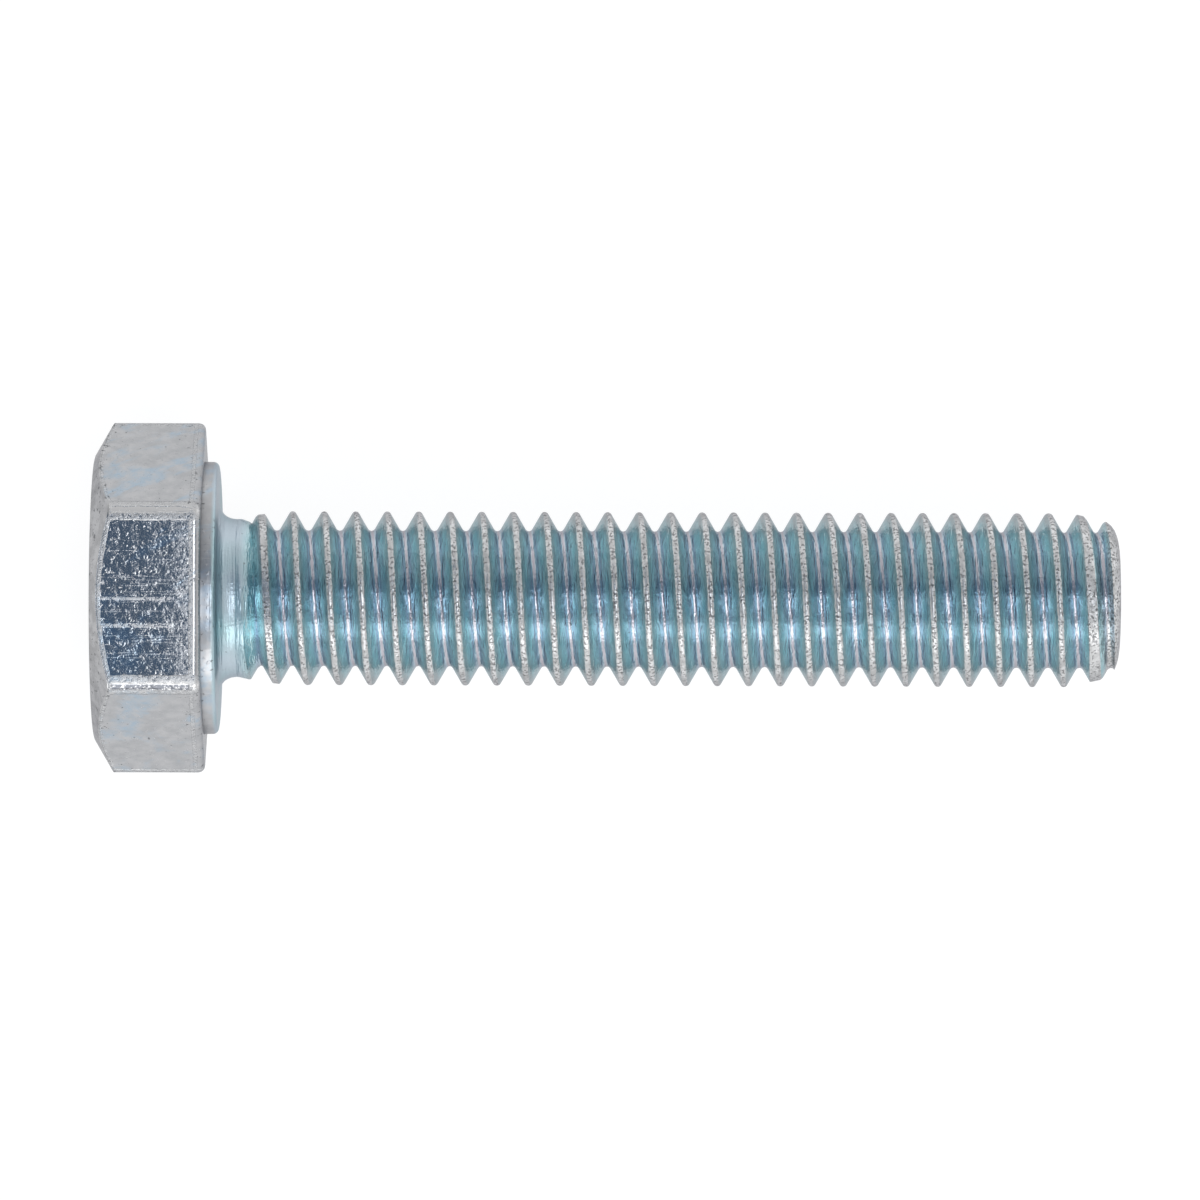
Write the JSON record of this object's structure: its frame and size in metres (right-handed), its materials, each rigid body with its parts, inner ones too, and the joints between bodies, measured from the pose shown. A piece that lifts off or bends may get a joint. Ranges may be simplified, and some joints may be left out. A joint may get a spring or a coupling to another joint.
{
  "type": "hex bolt",
  "caption": "Hexagon head bolt threaded right up to the head, with a washer face under the hexagon, a 30 degree chamfer and a blunt rolled tip.",
  "frame": {"origin": "centre of the bearing (washer) face under the head", "axes": "+X along the axis from the head to the tip; two flats of the hexagon face +Z and -Z, two corners point to +Y and -Y"},
  "size_m": [0.0227, 0.0078, 0.0068],
  "materials": {
    "zinc_steel": "bright zinc plate with a faint blue passivation, speckled and lightly scuffed"
  },
  "bodies": {
    "root": {"hex_bolt": "zinc_steel"}
  },
  "joints": []
}
